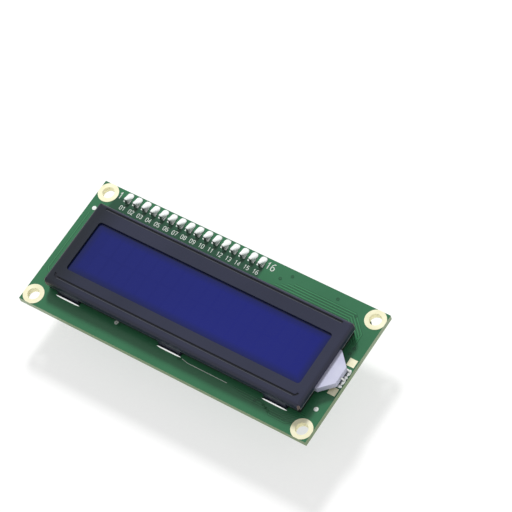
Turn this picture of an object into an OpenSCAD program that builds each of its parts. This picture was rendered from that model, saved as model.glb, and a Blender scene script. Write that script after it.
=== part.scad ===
// Character LCD module, 16 x 2, with a serial adapter board on its back.
// Frame: Z up out of the display face, X along the long side, Y toward the
// pin row. Origin: middle of the four corner holes, on the board's face.

/* [Main board] */
// length of the main circuit board
board_length = 80; // [79:0.5:86]
// width of the main circuit board
board_width = 36; // [36:0.5:42]
// thickness of both circuit boards
board_thickness = 1.6; // [1.2:0.1:2]
// distance of the corner holes from the board edges
hole_inset = 2.5; // [2.4:0.1:3]
// clear diameter of a corner hole
hole_d = 3; // [2.5:0.1:3.4]
// diameter of the tinned land round a corner hole
land_d = 5.2; // [4.8:0.1:5.6]
// height of copper and tin above a board face
tin = 0.06; // [0.05:0.01:0.1]

/* [Pin row] */
// number of pins in the row
row_count = 16; // [14:1:16]
// pitch of every pin row
pitch = 2.54; // [2.5:0.01:2.54]
// first pin, from the left edge of the board
row_start = 8; // [7.6:0.1:8.4]
// pin row, from the upper edge of the board
row_inset = 2.5; // [2.4:0.1:2.8]
// side of a square pin
pin_side = 0.64; // [0.6:0.01:0.66]
// how far a pin tip stands out of a soldered face
pin_tip = 1.25; // [1.1:0.05:1.5]
// height of a pin strip's plastic
strip_height = 2.54; // [2.5:0.01:2.8]

/* [Bezel] */
// gap from each end of the bezel to the board's end
bezel_end_gap = 4.4; // [4.2:0.1:4.6]
// gap from the bezel to the board's edge beside the pin row
bezel_row_gap = 7.1; // [6.9:0.1:7.3]
// gap from the bezel to the board's other long edge
bezel_low_gap = 5.2; // [5:0.1:5.4]
// height of the bezel's face above the board
bezel_height = 4.1; // [4:0.1:7]
// height of the bezel's open lower edge above the board
rim_height = 2; // [1.6:0.1:2.4]
// thickness of the bezel's sheet
sheet = 0.5; // [0.4:0.05:0.55]
// outer radius of the bezel's folded edges
fold_r = 0.85; // [0.75:0.05:1]
// border of sheet at each end of the viewing window
window_end_border = 3.1; // [2.9:0.05:4]
// border of sheet above and below the viewing window
window_side_border = 4.75; // [4.6:0.05:4.9]
// width of a fixing tab
tab_width = 6.2; // [5.6:0.1:6.6]
// angle a fixing tab is twisted by behind the board
tab_twist = 35; // [20:1:40]
// how far a fixing tab stands out behind the board
tab_reach = 3; // [2.4:0.1:3.4]
// how far a tab stands out where the adapter board covers it
covered_reach = 1.5; // [1.3:0.1:1.7]

/* [Backlight] */
// width of the backlight tongue where it leaves the bezel
tongue_root = 10.8; // [10:0.1:11.4]
// width of the backlight tongue at its outer end
tongue_end = 4.6; // [4.4:0.1:5]
// height of the tongue's upper face
tongue_top = 2.5; // [2.3:0.1:2.6]

/* [Adapter board] */
// length of the adapter board
pack_length = 41.5; // [41:0.1:42]
// width of the adapter board
pack_width = 19; // [18.6:0.1:20]
// side of the trimmer's square body
trimmer_side = 7; // [6.6:0.1:7.2]
// height of the trimmer above the adapter board
trimmer_height = 4.8; // [4.4:0.1:5.2]
// diameter of the trimmer's rotor
rotor_d = 3.6; // [3.2:0.1:4]
// height of the bent pins above the adapter board
bent_height = 4.6; // [4.4:0.1:5]
// length of the jumper cap
cap_length = 6; // [5.6:0.1:6.4]

/* [Hidden] */
$fn = 40;

// board edges, corner holes and pin row
board_l = -board_length / 2;
board_r = board_length / 2;
board_t = board_width / 2;
hole_x = board_length / 2 - hole_inset;
hole_y = board_width / 2 - hole_inset;
land_h = tin;
plating = 0.12;
row_x = board_l + row_start;
row_y = board_t - row_inset;
row_span = (row_count - 1) * pitch;
pin_hole_d = 1.05;
back = -board_thickness;

// solder mound on a long land: a lying capsule sunk in the board's face
land_w = 1.7;
land_len = 3.2;
land_off = 0.45;
mound_r = 0.86;
mound_sink = 0.1;
mound_half = 0.62;

// bezel
bz_x = board_r - bezel_end_gap;
bz_t = board_t - bezel_row_gap;
bz_b = -board_t + bezel_low_gap;
bezel_length = 2 * bz_x;
bezel_width = bz_t - bz_b;
bezel_drop = -(bz_t + bz_b) / 2;
window_length = bezel_length - 2 * window_end_border;
window_width = bezel_width - 2 * window_side_border;
bz_under = bezel_height - sheet;
fold_in = fold_r - sheet;
bezel_gap = tin + 0.02;
window_x = 0.2;
window_y = 0.15 - bezel_drop;
window_r = 0.8;
groove_w = 0.5;
groove_d = 0.18;
groove_half = bz_x - 2.8;
low_groove_in = 2.05;
row_groove_in = 1.05;
tab_shift = -0.25;
tab_x = bz_x - 6.7;
tab_xs = [for (i = [-1:1]) i * tab_x + tab_shift];
slot_play = 0.15;
twist_steps = 5;
tab_land_w = tab_width + 1;
front_land_w = tab_width + 0.4;
front_land_in = 0.4;
front_land_out = 0.85;

// optical stack, from the bezel's face downward
film = 0.18;
glass = 0.55;
ledge = 2.5;
side_play = 0.4;
pol_top = bz_under - 0.02;
fglass_top = pol_top - film;
rglass_top = fglass_top - glass;
rpol_top = rglass_top - glass;
diff_top = rpol_top - film;
guide_top = diff_top - film;
guide_floor = tin + 0.04;
glass_x = bz_x - sheet - side_play;
glass_t = bz_t - sheet - side_play;
glass_b = bz_b + sheet + side_play;
pol_x = glass_x - 0.5;
pol_t = glass_t - ledge - 0.4;
pol_b = glass_b + ledge + 0.4;
zebra_w = 1.9;
zebra_x = glass_x - 1.4;

// backlight tongue
tongue_y = -bezel_drop - 0.1;
tongue_x = board_r - 0.9;
tongue_thick = 1.7;
tongue_lead_y = [1.15, -1.35];
lead_side = 0.45;
lead_hole_x = board_r - 3.8;
lead_out = 0.35;
bl_land = 2;
bl_land_x = board_r - 1.35;
bl_land_y = 4;

// adapter board, its face away from the main board being the outer one
strip_z = back - strip_height;
pack_z = strip_z - board_thickness;
pack_l = row_x - 1.2;
pack_r = pack_l + pack_length;
pack_t = row_y + 1.35;
pack_b = pack_t - pack_width;
trim_x = pack_l + 8.4;
trim_y = row_y - 5;
rotor_depth = 1.3;
rotor_play = 0.05;
chip_x = pack_l + 0.4916 * pack_length;
chip_y = row_y - 6.8;
chip_len = 10.3;
chip_wide = 7.5;
chip_top = 2.4;
base_w = 2.5;
jump_x = pack_r - 1.65;
jump_y = row_y - 5.65;
jump_end = pack_r + 6.1;
cap_start = pack_r + 0.9;
cap_wide = 2 * pitch - 0.1;
cap_thick = 2.5;
cap_play = 0.06;
port_x = pack_l + 1.75;
port_y = row_y - 6.92;
port_end = pack_l - 6.3;
tab_clear = 0.15;
bent_tip = strip_height - covered_reach - tab_clear;
bead_r = 0.85;

// chips on the main board's back: x, y, turn, length, width
mid_y = -bezel_drop + 0.35;
chip_l = 2;
chip_w = 1.25;
big_chip = [3.2, 1.6];
board_chips = concat(
    [for (i = [-2.5:2.5]) [board_l + 9, mid_y + i * 2.2, 0, chip_l, chip_w]],
    [for (i = [0:1])
        [board_l + 16.4 + i * 2.5, mid_y - 2.75, 90, chip_l, chip_w]],
    [[board_r - 20.3, row_y - 2.4, 0, big_chip[0], big_chip[1]]]);
chip_h = 0.5;
end_len = 0.4;
end_foot = 0.45;
dome_1_r = 6.2;
dome_1_h = 1.3;
dome_1_x = board_l + 27;
dome_2_r = 5.1;
dome_2_h = 1.2;
dome_2_x = board_r - 26.7;

// chips on the adapter board, as shares of its length from the port's end
low_row = row_y - 13.6;
mid_row = row_y - 10;
top_row = row_y - 4.2;
function on_pack(share, y) =
    [pack_l + share * pack_length, y, 90, chip_l, chip_w];
adapter_chips = [
    on_pack(0.267, low_row), on_pack(0.207, low_row), on_pack(0.149, low_row),
    on_pack(0.819, mid_row), on_pack(0.757, mid_row), on_pack(0.696, mid_row),
    on_pack(0.771, top_row)];
cap_chip = on_pack(0.708, top_row);
led_chip = on_pack(0.882, mid_row + 0.6);
address_x = pack_l + 0.725 * pack_length;
sot_x = pack_l + 0.858 * pack_length;
sot_y = row_y - 4.6;

// ---------- placing ----------
module on_back() {
    translate([0, 0, back]) mirror([0, 0, 1]) children();
}
module on_adapter() {
    translate([0, 0, pack_z]) mirror([0, 0, 1]) children();
}
module at_corners() {
    for (sx = [-1, 1], sy = [-1, 1])
        translate([sx * hole_x, sy * hole_y, 0]) children();
}
module along_row() {
    for (i = [0:row_count - 1])
        translate([row_x + i * pitch, row_y, 0]) children();
}
module at_tabs() {
    at_row_tabs(tab_xs) children();
    at_low_tabs() children();
}
module at_row_tabs(xs) {
    for (x = xs) translate([x, bz_t - sheet / 2, 0]) children();
}
module at_low_tabs() {
    for (x = tab_xs)
        translate([x, bz_b + sheet / 2, 0]) mirror([0, 1, 0]) children();
}
module chip_at(c) {
    translate([c[0], c[1], 0]) rotate([0, 0, c[2]]) children();
}
module block(x0, x1, y0, y1, z0, z1) {
    translate([x0, y0, z0]) cube([x1 - x0, y1 - y0, z1 - z0]);
}
module bar(w, l, h) {
    translate([-w / 2, -l / 2, 0]) cube([w, l, h]);
}
module post(z0, z1, side) {
    translate([-side / 2, -side / 2, z0]) cube([side, side, z1 - z0]);
}
module slot2d(w, l) {
    square([w, l - w], center = true);
    for (s = [-1, 1]) translate([0, s * (l - w) / 2]) circle(d = w);
}

// ---------- main board ----------
module main_board() {
    color("seagreen") translate([0, 0, back])
    linear_extrude(board_thickness) difference() {
        square([board_length, board_width], center = true);
        at_corners() circle(d = hole_d + 2 * plating);
        along_row() circle(d = pin_hole_d);
        for (y = tongue_lead_y)
            translate([lead_hole_x, y]) circle(d = pin_hole_d);
        at_tabs() square([tab_width + 2 * slot_play,
                          sheet + 2 * slot_play], center = true);
    }
}

// tinned lands on both faces joined through each hole
module corner_lands() {
    color("wheat") difference() {
        at_corners() difference() {
            union() {
                translate([0, 0, back]) cylinder(d = hole_d + 2 * plating,
                    h = board_thickness);
                cylinder(d = land_d, h = land_h);
                translate([0, 0, back - land_h])
                    cylinder(d = land_d, h = land_h);
            }
            translate([0, 0, back - 1])
                cylinder(d = hole_d, h = board_thickness + 2);
        }
        difference() {
            cube([2 * board_length, 2 * board_width, 9], center = true);
            cube([board_length, board_width, 10], center = true);
        }
    }
}
module pin_lands() {
    color("silver") along_row() translate([0, land_off, 0])
        linear_extrude(land_h) difference() {
            slot2d(land_w, land_len);
            translate([0, -land_off]) circle(d = pin_hole_d);
        }
}
module pin_solder() {
    color("gainsboro") along_row() difference() {
        translate([0, land_off, -mound_sink]) {
            rotate([90, 0, 0])
                cylinder(r = mound_r, h = 2 * mound_half, center = true);
            for (s = [-1, 1])
                translate([0, s * mound_half, 0]) sphere(r = mound_r);
        }
        translate([0, 0, land_h - 5]) bar(6, 8, 5);
        post(-1, 3, pin_side);
    }
}
module row_pins() {
    color("goldenrod") along_row()
        post(pack_z - pin_tip, pin_tip, pin_side);
}
// eight-sided bodies joined in one strip
module strip_body(n, h, cut) {
    half = pitch / 2;
    linear_extrude(h) difference() {
        for (i = [0:n - 1]) translate([0, (i - (n - 1) / 2) * pitch])
            polygon([[-base_w / 2, -half + cut], [-base_w / 2 + cut, -half],
                [base_w / 2 - cut, -half], [base_w / 2, -half + cut],
                [base_w / 2, half - cut], [base_w / 2 - cut, half],
                [-base_w / 2 + cut, half], [-base_w / 2, half - cut]]);
        for (i = [0:n - 1]) translate([0, (i - (n - 1) / 2) * pitch])
            square(pin_side, center = true);
    }
}
module row_strip() {
    color("dimgray")
        translate([row_x + row_span / 2, row_y, back - strip_height])
        rotate([0, 0, 90]) strip_body(row_count, strip_height, 0.4);
}

// square lands of the backlight's supply, both faces
module backlight_lands() {
    color("wheat") for (s = [-1, 1]) translate([bl_land_x,
        s * bl_land_y - 0.35, 0]) {
        bar(bl_land, bl_land, land_h);
        translate([0, 0, back - land_h]) bar(bl_land, bl_land, land_h);
    }
}
module tab_land(l, inward, outward) {
    difference() {
        translate([-l / 2, -inward, 0]) cube([l, inward + outward, land_h]);
        translate([-tab_width / 2 - slot_play, -sheet / 2 - slot_play, -1])
            cube([tab_width + 2 * slot_play, sheet + 2 * slot_play, 3]);
    }
}
module front_tab_lands() {
    color("gainsboro") at_tabs() block(-front_land_w / 2,
        front_land_w / 2, front_land_in, front_land_out, 0, land_h);
}
module back_tab_lands() {
    color("tan") at_tabs() translate([0, 0, back - land_h])
        tab_land(tab_land_w, 3.2, 0.85);
}

// ---------- bezel: one folded sheet ----------
// wall profile with its fold: x runs inward from the outer face, and the
// wall's cut edge stands clear of the board
module wall_profile() {
    translate([0, rim_height])
        square([sheet, bezel_height - fold_r - rim_height]);
    translate([fold_r, bezel_height - fold_r]) intersection() {
        difference() { circle(r = fold_r); circle(r = fold_in); }
        translate([-fold_r, 0]) square(fold_r);
    }
}
module long_wall() {
    half = bz_x - fold_r * 0.55;
    translate([-half, 0, 0]) rotate([90, 0, 90])
        linear_extrude(2 * half) wall_profile();
}
module short_wall() {
    half = bezel_width / 2 - fold_r * 0.55;
    translate([0, half, 0]) rotate([90, 0, 0])
        linear_extrude(2 * half) wall_profile();
}
// tab through its slot, twisted step by step once it is past the board
module fixing_tab(reach, turn) {
    step = (reach - bezel_gap) / twist_steps;
    translate([0, 0, back - bezel_gap])
        bar(tab_width, sheet, board_thickness + bezel_gap + rim_height
            + 0.3);
    for (i = [1:twist_steps])
        translate([0, 0, back - bezel_gap - i * step])
        rotate([0, 0, turn * i / twist_steps])
            bar(tab_width, sheet, step + 0.01);
}
module groove(y, bend) {
    translate([0, y, bezel_height - groove_d]) {
        block(-groove_half, groove_half, -groove_w / 2, groove_w / 2, 0, 1);
        for (s = [-1, 1]) translate([s * groove_half, 0, 0])
            cylinder(d = groove_w, h = 1);
        if (bend) for (s = [-1, 1])
            translate([s * groove_half, bend, 0]) intersection() {
                difference() {
                    cylinder(r = abs(bend) + groove_w / 2, h = 1);
                    translate([0, 0, -1])
                        cylinder(r = abs(bend) - groove_w / 2, h = 3);
                }
                block(s > 0 ? 0 : -3, s > 0 ? 3 : 0,
                    bend > 0 ? -3 : 0, bend > 0 ? 0 : 3, 0, 1);
            }
    }
}
module bezel() {
    color("slategray") difference() {
        union() {
            translate([0, bz_b, 0]) long_wall();
            translate([0, bz_t, 0]) mirror([0, 1, 0]) long_wall();
            translate([-bz_x, -bezel_drop, 0]) short_wall();
            translate([bz_x, -bezel_drop, 0]) mirror([1, 0, 0])
                short_wall();
            block(-bz_x + fold_r, bz_x - fold_r, bz_b + fold_r,
                bz_t - fold_r, bz_under, bezel_height);
            at_row_tabs([tab_xs[0], tab_xs[1]])
                fixing_tab(covered_reach, tab_twist);
            at_row_tabs([tab_xs[2]]) fixing_tab(tab_reach, tab_twist);
            at_low_tabs() fixing_tab(tab_reach, -tab_twist);
        }
        translate([window_x, window_y, 0]) linear_extrude(9) {
            square([window_length, window_width - 2 * window_r],
                center = true);
            square([window_length - 2 * window_r, window_width],
                center = true);
            for (sx = [-1, 1], sy = [-1, 1])
                translate([sx * (window_length / 2 - window_r),
                    sy * (window_width / 2 - window_r)])
                    circle(r = window_r);
        }
        groove(bz_t - row_groove_in, 0);
        groove(bz_b + low_groove_in, 0.9);
        block(bz_x - fold_r - 0.1, bz_x + 1,
            tongue_y - tongue_root / 2 - 0.25,
            tongue_y + tongue_root / 2 + 0.25, -1, tongue_top + 0.12);
    }
}
// moulded ring between the bezel's walls and the glass, open at the tongue
module inner_frame() {
    play = 0.02;
    out = sheet + play;
    color("black") difference() {
        block(-bz_x + out, bz_x - out, bz_b + out, bz_t - out,
            0, bezel_height - fold_r - play);
        block(-glass_x - play, glass_x + play, glass_b - play,
            glass_t + play, -1, bezel_height);
        block(glass_x - 1, bz_x, tongue_y - tongue_root / 2 - 0.25,
            tongue_y + tongue_root / 2 + 0.25, -1, tongue_top + 0.12);
    }
}

// ---------- optical stack ----------
module front_polariser() {
    color("midnightblue") block(-pol_x, pol_x, pol_b, pol_t,
        fglass_top, pol_top);
}
module front_glass() {
    color("steelblue") block(-glass_x, glass_x, glass_b, glass_t,
        rglass_top, fglass_top);
}
module rear_glass() {
    color("steelblue") block(-glass_x, glass_x, glass_b + ledge,
        glass_t - ledge, rpol_top, rglass_top);
}
module rear_polariser() {
    color("navy") block(-pol_x, pol_x, pol_b, pol_t, diff_top, rpol_top);
}
// striped rubber between the board and the upper glass's ledge
module zebra_strips() {
    color("pink") {
        block(-zebra_x, zebra_x, glass_t - 0.1 - zebra_w, glass_t - 0.1,
            0, rglass_top);
        block(-zebra_x, zebra_x, glass_b + 0.1, glass_b + 0.1 + zebra_w,
            0, rglass_top);
    }
}
module diffuser_film() {
    color("white") block(-glass_x + 0.3, glass_x - 0.3,
        glass_b + ledge + 0.2, glass_t - ledge - 0.2, guide_top, diff_top);
}
module light_guide() {
    root = glass_x + 0.1;
    under = tongue_top - tongue_thick;
    color("lavender") {
        block(-glass_x + 0.3, glass_x - 0.3, glass_b + ledge + 0.1,
            glass_t - ledge - 0.1, guide_floor, guide_top);
        block(glass_x - 0.31, root + 0.1, tongue_y - tongue_root / 2,
            tongue_y + tongue_root / 2, under, min(guide_top, tongue_top));
        translate([0, tongue_y, under]) linear_extrude(tongue_thick)
            polygon([[root, -tongue_root / 2],
                [bz_x + 0.4, -tongue_root / 2],
                [tongue_x, -tongue_end / 2], [tongue_x, tongue_end / 2],
                [bz_x + 0.4, tongue_root / 2], [root, tongue_root / 2]]);
    }
}
// wires from the tongue's end, bent down and back along the board
module backlight_leads() {
    mid = tongue_top - tongue_thick / 2;
    color("silver") for (y = tongue_lead_y) translate([0, y, 0]) {
        block(tongue_x, tongue_x + lead_out + lead_side, -lead_side / 2,
            lead_side / 2, mid - lead_side / 2, mid + lead_side / 2);
        block(tongue_x + lead_out, tongue_x + lead_out + lead_side,
            -lead_side / 2, lead_side / 2, land_h, mid);
        block(lead_hole_x - lead_side / 2, tongue_x + lead_out,
            -lead_side / 2, lead_side / 2, land_h, land_h + lead_side);
        block(lead_hole_x - lead_side / 2, lead_hole_x + lead_side / 2,
            -lead_side / 2, lead_side / 2, back - 0.7, land_h + lead_side);
    }
}
module lead_solder() {
    color("gainsboro") on_back() for (y = tongue_lead_y)
        translate([lead_hole_x, y, 0]) difference() {
            cylinder(r1 = 0.9, r2 = 0.35, h = 0.6);
            post(-1, 2, lead_side);
        }
}

// ---------- back of the main board ----------
module blob(r, h) {
    big = (r * r + h * h) / (2 * h);
    rotate_extrude($fn = 96) intersection() {
        translate([0, h - big]) circle(r = big, $fn = 240);
        square([r + 1, h + 1]);
    }
}
module driver_blob_1() {
    color("black") on_back()
        translate([dome_1_x, row_y - 15.5, 0]) blob(dome_1_r, dome_1_h);
}
module driver_blob_2() {
    color("black") on_back()
        translate([dome_2_x, row_y - 14.5, 0]) blob(dome_2_r, dome_2_h);
}
module chip_core(c) {
    chip_at(c) bar(c[3] - 2 * end_len, c[4], chip_h);
}
// tinned end with its solder fillet
module chip_end(c) {
    chip_at(c) for (s = [0, 180]) rotate([0, 0, s])
        translate([0, c[4] / 2, 0]) rotate([90, 0, 0])
        linear_extrude(c[4]) polygon([[c[3] / 2 - end_len, 0],
            [c[3] / 2 + end_foot, 0], [c[3] / 2 + end_foot, 0.1],
            [c[3] / 2, chip_h * 0.8], [c[3] / 2, chip_h + 0.02],
            [c[3] / 2 - end_len, chip_h + 0.02]]);
}
module board_resistors() {
    color("black") on_back() for (c = board_chips) chip_core(c);
}
module board_resistor_ends() {
    color("gainsboro") on_back() for (c = board_chips) chip_end(c);
}
// lands of parts that are not fitted
module bare_lands() {
    color("wheat") on_back() {
        for (i = [0:3], x = [13.7, 7.8])
            translate([board_r - x, mid_y + 0.9 + i * 1.27, 0])
                bar(1.5, 0.6, land_h);
        for (y = [1.75, 5.25], x = [12.2, 8.6])
            translate([board_r - x, mid_y - y, 0]) bar(1.3, 1.6, land_h);
        for (x = [16.4, 18.9], y = [4.75, 6.35])
            translate([board_l + x, mid_y - y, 0]) bar(1.1, 0.9, land_h);
        for (x = [12.8, 10.7, 8])
            translate([board_r - x, bz_t - 4.9, 0])
                cylinder(d = 1.5, h = land_h);
        translate([board_r - 2.2, -board_t + 8.3, 0])
            cylinder(d = 1.1, h = land_h);
        translate([board_l + 2.1, board_t - 7.4, 0])
            cylinder(d = 1.1, h = land_h);
    }
}

// ---------- adapter board ----------
module adapter_board() {
    color("black") difference() {
        block(pack_l, pack_r, pack_b, pack_t, pack_z, strip_z);
        translate([0, 0, pack_z - 1])
            linear_extrude(board_thickness + 2) {
                along_row() circle(d = pin_hole_d);
                bent_rows() circle(d = pin_hole_d);
                trimmer_legs() circle(d = pin_hole_d);
            }
    }
}
module bent_rows() {
    for (i = [-0.5, 0.5]) translate([jump_x, jump_y + i * pitch])
        children();
    for (i = [-1.5:1.5]) translate([port_x, port_y + i * pitch])
        children();
}
module trimmer_legs() {
    for (p = [[-2.5, -2.2], [-2.5, 2.2], [2.5, 0]])
        translate([trim_x + p[0], trim_y + p[1]]) children();
}
module bead(side, h = 0.9) {
    difference() {
        cylinder(r1 = bead_r, r2 = 0.42, h = h);
        post(-1, 2, side);
    }
}
module adapter_solder() {
    color("gainsboro") on_adapter() along_row() bead(pin_side);
}
// wide small-outline chip: body, then bent leads
module chip_body() {
    color("dimgray") on_adapter() translate([chip_x, chip_y, 0])
    difference() {
        translate([0, chip_len / 2, 0]) rotate([90, 0, 0])
            linear_extrude(chip_len) polygon([
                [-chip_wide / 2 + 0.25, 0.15], [chip_wide / 2 - 0.25, 0.15],
                [chip_wide / 2, 1.2], [chip_wide / 2 - 0.25, chip_top],
                [-chip_wide / 2 + 0.25, chip_top], [-chip_wide / 2, 1.2]]);
        translate([-chip_wide / 2 + 1.3, chip_len / 2 - 1.3,
            chip_top - 0.12]) cylinder(d = 1.3, h = 1);
    }
}
module lead_shape(root, reach, top, t) {
    polygon([[root, top - t / 2], [reach - 0.9, top - t / 2],
        [reach - 0.75, 0], [reach, 0], [reach, t],
        [reach - 0.75 + t * 0.8, t], [reach - 0.8 + t * 0.5, top + t / 2],
        [root, top + t / 2]]);
}
module chip_leads() {
    color("silver") on_adapter() translate([chip_x, chip_y, 0])
        for (s = [0, 180], i = [-3.5:3.5]) rotate([0, 0, s])
            translate([0, i * 1.27 + 0.2, 0]) rotate([90, 0, 0])
            linear_extrude(0.4)
            lead_shape(chip_wide / 2, chip_wide / 2 + 1.6, 1.2, 0.25);
}

// ---------- trimmer ----------
module trimmer_body() {
    h = trimmer_side / 2;
    c = 0.5;
    color("royalblue") on_adapter() translate([trim_x, trim_y, 0])
    difference() {
        union() {
            translate([0, 0, 0.5]) linear_extrude(trimmer_height - 0.5)
                polygon([[-h, -h], [h - c, -h], [h, -h + c], [h, h - 3 * c],
                    [h - 3 * c, h], [-h + c, h], [-h, h - c]]);
            for (sx = [-1, 1], sy = [-1, 1])
                translate([sx * (h - 0.8), sy * (h - 0.8), 0])
                    cylinder(d = 1, h = 1);
        }
        translate([0, 0, trimmer_height - rotor_depth])
            cylinder(d = rotor_d + 2 * rotor_play, h = 9);
        trimmer_leg_holes();
    }
}
module trimmer_leg_holes() {
    translate([-trim_x, -trim_y, -1]) trimmer_legs() bar(0.6, 0.6, 2.5);
}
// slotted rotor, flush with the trimmer's face
module trimmer_rotor() {
    color("white") on_adapter()
        translate([trim_x, trim_y, trimmer_height - rotor_depth + 0.05])
        difference() {
            cylinder(d = rotor_d, h = rotor_depth - 0.05);
            for (a = [0, 90]) rotate([0, 0, a + 20])
                translate([0, 0, rotor_depth - 0.6])
                bar(rotor_d * 0.78, 0.6, 2);
        }
}
module trimmer_pins() {
    color("silver") on_adapter() trimmer_legs()
        post(-board_thickness - bent_tip + 0.1, 1.5, 0.6);
}

// ---------- bent pin rows ----------
module upright_base(n) {
    strip_body(n, strip_height, 0.4);
}
module jumper_base() {
    color("dimgray") on_adapter() translate([jump_x, jump_y, 0])
        upright_base(2);
}
module port_base() {
    color("dimgray") on_adapter() translate([port_x, port_y, 0])
        upright_base(4);
}
// pin up from the board, folded outward to the given end
module bent_pin(reach) {
    s = pin_side / 2;
    post(-board_thickness - bent_tip, bent_height - 0.5, pin_side);
    translate([0, s, 0]) rotate([90, 0, 0]) linear_extrude(pin_side)
        polygon([[-s, bent_height - 0.5 - 0.01], [s, bent_height - 0.51],
            [0.5, bent_height - s], [reach - 0.2, bent_height - s],
            [reach, bent_height - s + 0.15],
            [reach, bent_height + s - 0.15],
            [reach - 0.2, bent_height + s], [0.15, bent_height + s],
            [-s, bent_height - 0.1]]);
}
module jumper_pins() {
    color("goldenrod") on_adapter() for (i = [-0.5, 0.5])
        translate([jump_x, jump_y + i * pitch, 0])
        bent_pin(jump_end - jump_x);
}
module port_pins() {
    color("goldenrod") on_adapter() for (i = [-1.5:1.5])
        translate([port_x, port_y + i * pitch, 0]) mirror([1, 0, 0])
        bent_pin(port_x - port_end);
}
module bent_pin_solder() {
    color("gainsboro") translate([0, 0, strip_z]) bent_rows()
        bead(pin_side, bent_tip - 0.1);
}
// push-on cap joining the two pins
module jumper_cap() {
    side = pin_side + 2 * cap_play;
    color("black") on_adapter()
    translate([cap_start, jump_y, bent_height]) difference() {
        translate([0, 0, -cap_thick / 2]) union() {
            bar_x(cap_length, cap_wide, cap_thick);
            translate([cap_length - 1.2, 0, -0.2])
                bar_x(1.2, cap_wide + 0.4, cap_thick + 0.4);
        }
        for (i = [-0.5, 0.5]) translate([-1, i * pitch - side / 2,
            -side / 2]) cube([cap_length + 0.2, side, side]);
        translate([0.6, -pitch / 2 - 0.5, side / 2])
            cube([cap_length - 2, pitch + 1, 0.25]);
        translate([1.8, -0.7, cap_thick / 2 - 0.35]) cube([2, 1.4, 1]);
    }
}
module bar_x(l, w, h) {
    translate([0, -w / 2, 0]) cube([l, w, h]);
}
module jumper_clip() {
    color("gold") on_adapter()
        translate([cap_start + 0.7, jump_y, bent_height + pin_side / 2
            + cap_play]) bar_x(cap_length - 2.3, pitch + 0.8, 0.2);
}

// ---------- small parts of the adapter ----------
module transistor_body() {
    color("black") on_adapter() translate([sot_x, sot_y, 0.1])
        bar(2.9, 1.3, 1);
}
module transistor_leads() {
    color("silver") on_adapter() translate([sot_x, sot_y, 0])
        for (p = [[-0.95, 0], [0.95, 0], [0, 180]])
            rotate([0, 0, p[1]]) translate([p[0] - 0.2, 0, 0])
            rotate([90, 0, 90]) linear_extrude(0.4)
            lead_shape(0.65, 1.5, 0.55, 0.15);
}
module power_led() {
    color("white") on_adapter() chip_core(led_chip);
    color("white") on_adapter() chip_at(led_chip)
        translate([0, 0, chip_h]) bar(1, 1.1, 0.3);
}
module power_led_ends() {
    color("gainsboro") on_adapter() chip_end(led_chip);
}
module adapter_resistors() {
    color("black") on_adapter() for (c = adapter_chips) chip_core(c);
}
module adapter_resistor_ends() {
    color("gainsboro") on_adapter() for (c = adapter_chips) chip_end(c);
}
module adapter_capacitor() {
    color("tan") on_adapter() chip_core(cap_chip);
}
module adapter_capacitor_ends() {
    color("gainsboro") on_adapter() chip_end(cap_chip);
}
module address_lands() {
    color("silver") on_adapter() for (k = [0:2], s = [-1, 1])
        translate([address_x - k * 4.5 + s, row_y - 14.2, 0])
        bar(1.4, 1.6, land_h);
}

main_board();
corner_lands();
pin_lands();
pin_solder();
row_pins();
row_strip();
backlight_lands();
front_tab_lands();
back_tab_lands();
bezel();
inner_frame();
front_polariser();
front_glass();
rear_glass();
rear_polariser();
zebra_strips();
diffuser_film();
light_guide();
backlight_leads();
lead_solder();
driver_blob_1();
driver_blob_2();
board_resistors();
board_resistor_ends();
bare_lands();
adapter_board();
adapter_solder();
chip_body();
chip_leads();
trimmer_body();
trimmer_rotor();
trimmer_pins();
jumper_base();
jumper_pins();
jumper_cap();
jumper_clip();
port_base();
port_pins();
bent_pin_solder();
transistor_body();
transistor_leads();
power_led();
power_led_ends();
adapter_resistors();
adapter_resistor_ends();
adapter_capacitor();
adapter_capacitor_ends();
address_lands();
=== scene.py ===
import bpy, bmesh, math, random
from mathutils import Matrix, Vector


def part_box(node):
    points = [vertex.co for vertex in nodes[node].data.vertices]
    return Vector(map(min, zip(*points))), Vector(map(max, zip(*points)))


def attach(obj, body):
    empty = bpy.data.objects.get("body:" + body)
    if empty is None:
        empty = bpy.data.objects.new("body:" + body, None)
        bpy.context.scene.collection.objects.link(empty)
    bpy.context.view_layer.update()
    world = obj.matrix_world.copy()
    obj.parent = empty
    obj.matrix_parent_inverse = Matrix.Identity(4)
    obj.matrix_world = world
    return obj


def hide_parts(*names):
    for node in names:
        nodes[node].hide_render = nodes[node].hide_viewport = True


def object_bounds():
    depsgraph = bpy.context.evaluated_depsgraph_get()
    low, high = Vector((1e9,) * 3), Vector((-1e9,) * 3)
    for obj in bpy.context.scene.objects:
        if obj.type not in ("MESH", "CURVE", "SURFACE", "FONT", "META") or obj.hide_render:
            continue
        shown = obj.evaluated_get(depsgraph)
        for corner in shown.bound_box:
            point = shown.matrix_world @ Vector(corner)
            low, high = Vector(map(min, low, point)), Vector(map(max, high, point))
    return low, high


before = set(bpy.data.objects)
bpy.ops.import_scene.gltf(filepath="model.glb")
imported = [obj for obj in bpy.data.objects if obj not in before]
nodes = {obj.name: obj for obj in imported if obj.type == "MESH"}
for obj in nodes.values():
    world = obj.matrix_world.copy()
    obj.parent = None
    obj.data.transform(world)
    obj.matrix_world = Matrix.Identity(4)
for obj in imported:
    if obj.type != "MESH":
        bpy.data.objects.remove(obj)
cad_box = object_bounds()
MM = 0.001
random.seed(16)


# ---------------------------------------------------------------- main board
# Glass-cloth laminate sawn to size under a glossy green solder mask. The
# sawn edges and the tab slots show the bare, pale laminate.
def mm_box(node):
    """Lowest and highest corner of a carried-over solid, in millimetres."""
    low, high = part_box(node)
    return low / MM, high / MM


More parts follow.
